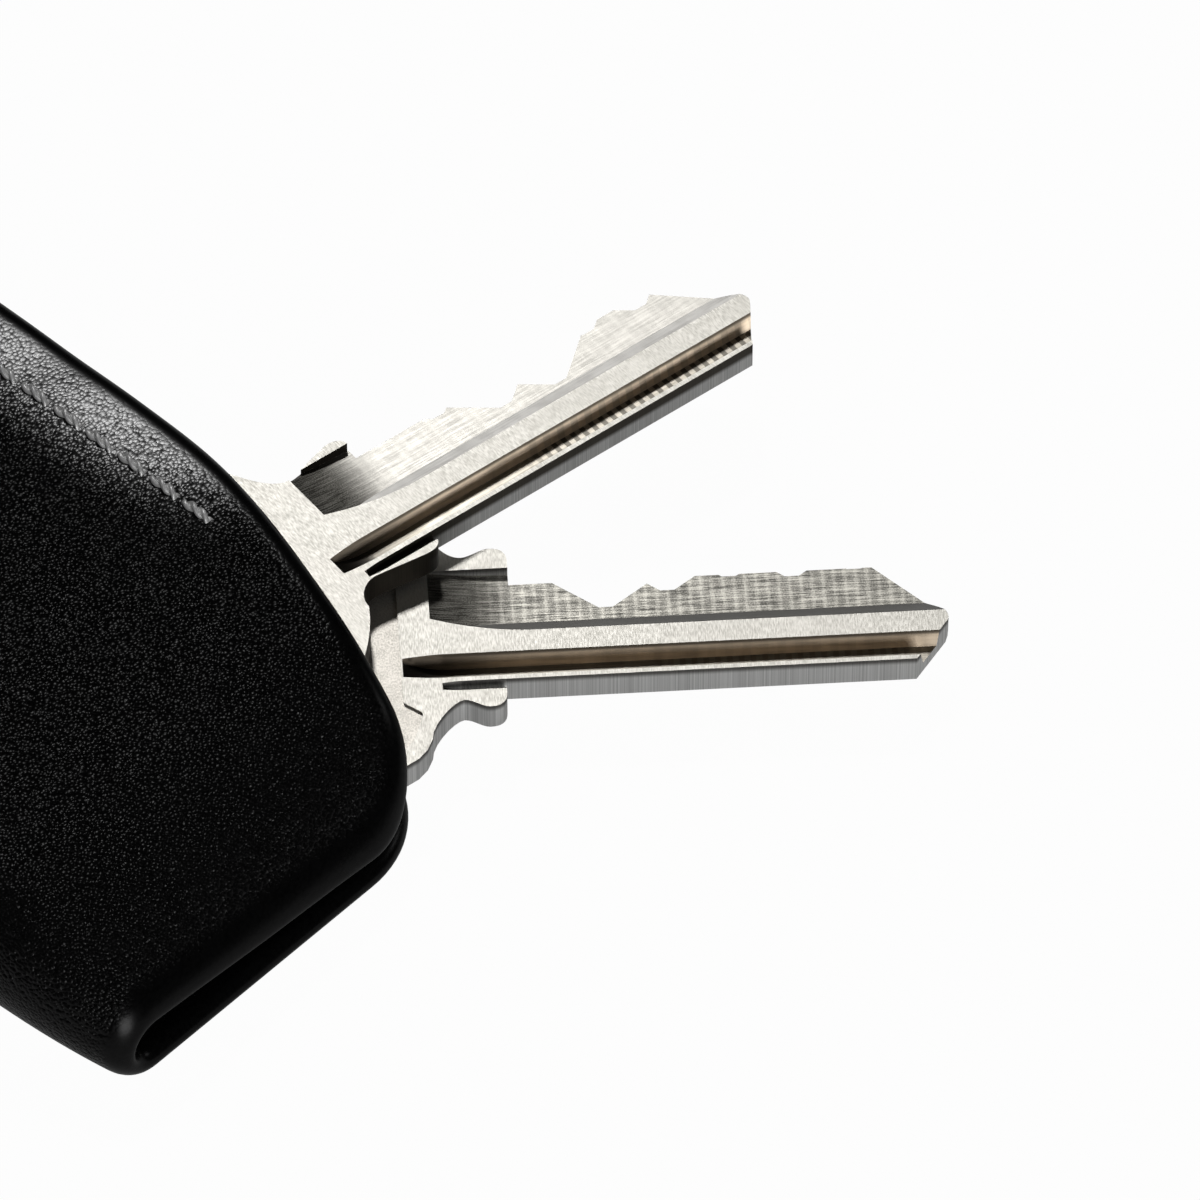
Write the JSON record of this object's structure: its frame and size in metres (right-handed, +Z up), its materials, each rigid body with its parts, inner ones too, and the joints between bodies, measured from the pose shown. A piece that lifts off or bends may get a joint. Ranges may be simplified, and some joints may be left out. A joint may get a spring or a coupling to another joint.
{
  "type": "key organizer",
  "caption": "Folded black leather key cover with rolled edges and a magnetic snap; house keys swing out past a cut-away corner on a hidden post.",
  "frame": {"origin": "on the post axis, at the underside of the back panel", "axes": "+X along the cover to its far end, +Y across it to the folded spine, +Z up out of the back panel"},
  "size_m": [0.1013, 0.072, 0.0109],
  "materials": {
    "leather": "fine pebble grain with smooth rolled edges, semi-matte black",
    "lining": "close matte black lining",
    "steel": "satin plated steel",
    "nylon": "black nylon",
    "key_metal": "milled nickel silver with fine tool marks",
    "magnet": "nickel-plated magnet"
  },
  "bodies": {
    "case": {"back_leather": "leather", "spine_leather": "leather", "back_lining": "lining", "base_plate": "steel", "post_barrel": "steel", "post_screw": "steel", "washer_lower": "nylon", "washer_middle": "nylon", "washer_upper": "nylon", "snap_cup": "steel", "snap_magnet": "magnet"},
    "cover": {"front_leather": "leather", "front_lining": "lining", "snap_stud": "steel"},
    "lower_key": {"key_lower": "key_metal"},
    "upper_key": {"key_upper": "key_metal"}
  },
  "joints": [
    {"name": "key_lower_swing", "type": "hinge", "parent": "case", "child": "lower_key", "pos_m": [0, 0, 0.0039], "axis": [0, 0, 1], "range_deg": [0, 143.3]},
    {"name": "key_upper_swing", "type": "hinge", "parent": "case", "child": "upper_key", "pos_m": [0, 0, 0.0064], "axis": [0, 0, 1], "range_deg": [-8, 109.3]},
    {"name": "cover_open", "type": "hinge", "parent": "case", "child": "cover", "pos_m": [0, 0.022, 0.01085], "axis": [-1, 0, 0], "range_deg": [0, 110]}
  ]
}
